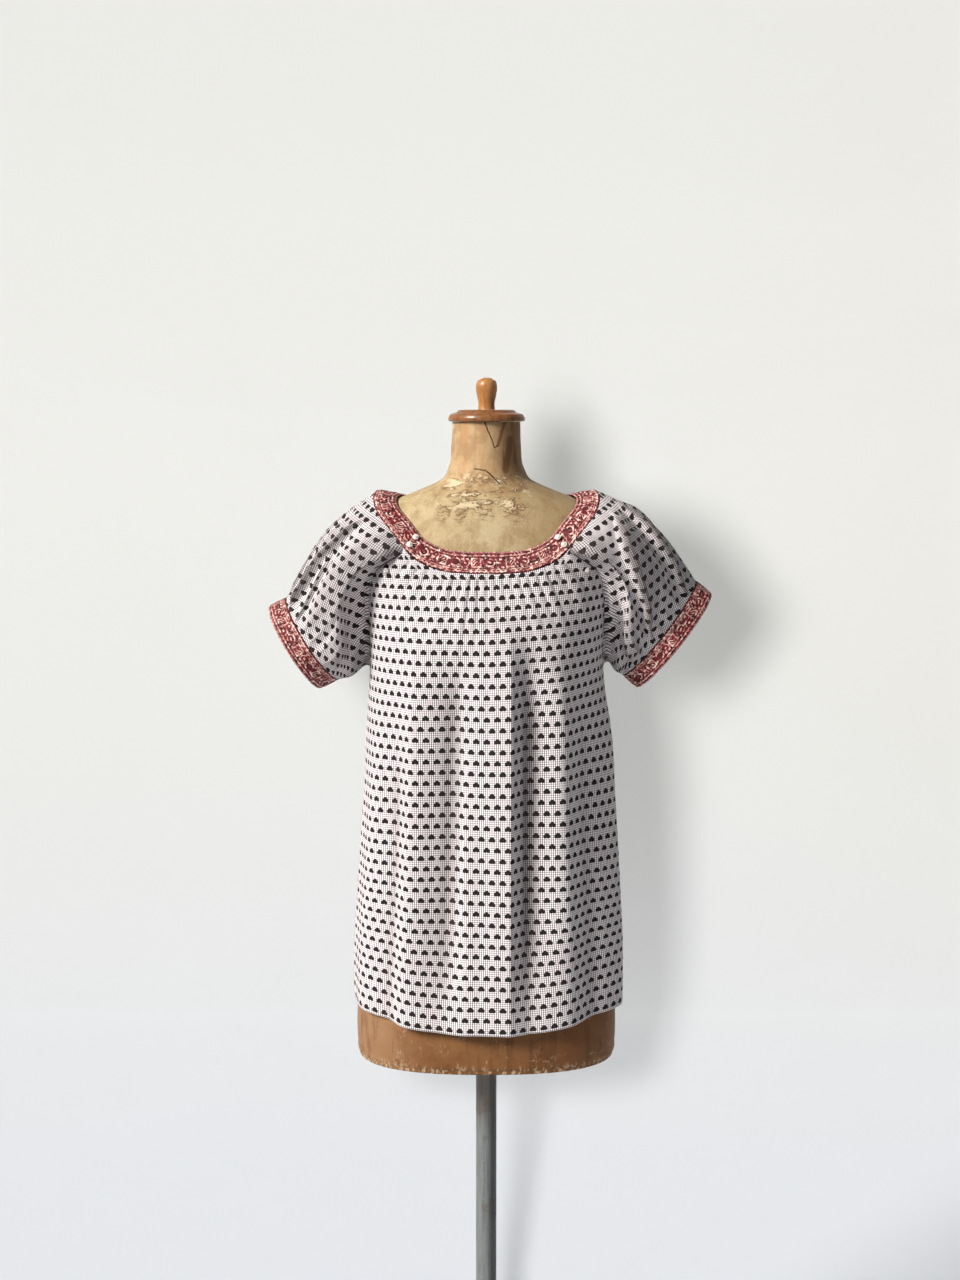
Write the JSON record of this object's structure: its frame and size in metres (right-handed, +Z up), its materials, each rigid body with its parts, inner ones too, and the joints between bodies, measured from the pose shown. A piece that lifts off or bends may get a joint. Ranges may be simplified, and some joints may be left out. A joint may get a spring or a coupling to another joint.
{
  "type": "puff sleeve top on a limbless dress form",
  "caption": "Short-sleeved gathered cotton top with ribbon neckband and cuffs, worn by a limbless dress form on a pole stand.",
  "frame": {"origin": "centre of the foot's underside, on the floor under the pole", "axes": "+Z up along the pole, the front of the top faces -Y, +X is to the viewer's right from the front"},
  "size_m": [0.5766, 0.35, 1.5781],
  "materials": {
    "checked_cotton": "off-white cotton with a fine dark check and small dark hearts",
    "red_ribbon": "dark red woven ribbon with pale rosettes",
    "pearl": "small off-white shank buttons",
    "aged_paper": "varnished paper over a moulded shell, cracked and stained",
    "turned_wood": "polished turned wood",
    "steel_tube": "worn grey steel",
    "cast_foot": "plain dark cast iron"
  },
  "bodies": {
    "root": {"front_panel": "checked_cotton", "back_panel": "checked_cotton", "right_sleeve": "checked_cotton", "left_sleeve": "checked_cotton", "front_neckband": "red_ribbon", "back_neckband": "red_ribbon", "right_cuff": "red_ribbon", "left_cuff": "red_ribbon", "right_upper_button": "pearl", "right_lower_button": "pearl", "right_seam_button": "pearl", "left_upper_button": "pearl", "left_lower_button": "pearl", "left_seam_button": "pearl", "dress_form": "aged_paper", "neck_cap": "turned_wood", "neck_knob": "turned_wood", "pole": "steel_tube", "round_foot": "cast_foot"}
  },
  "joints": []
}
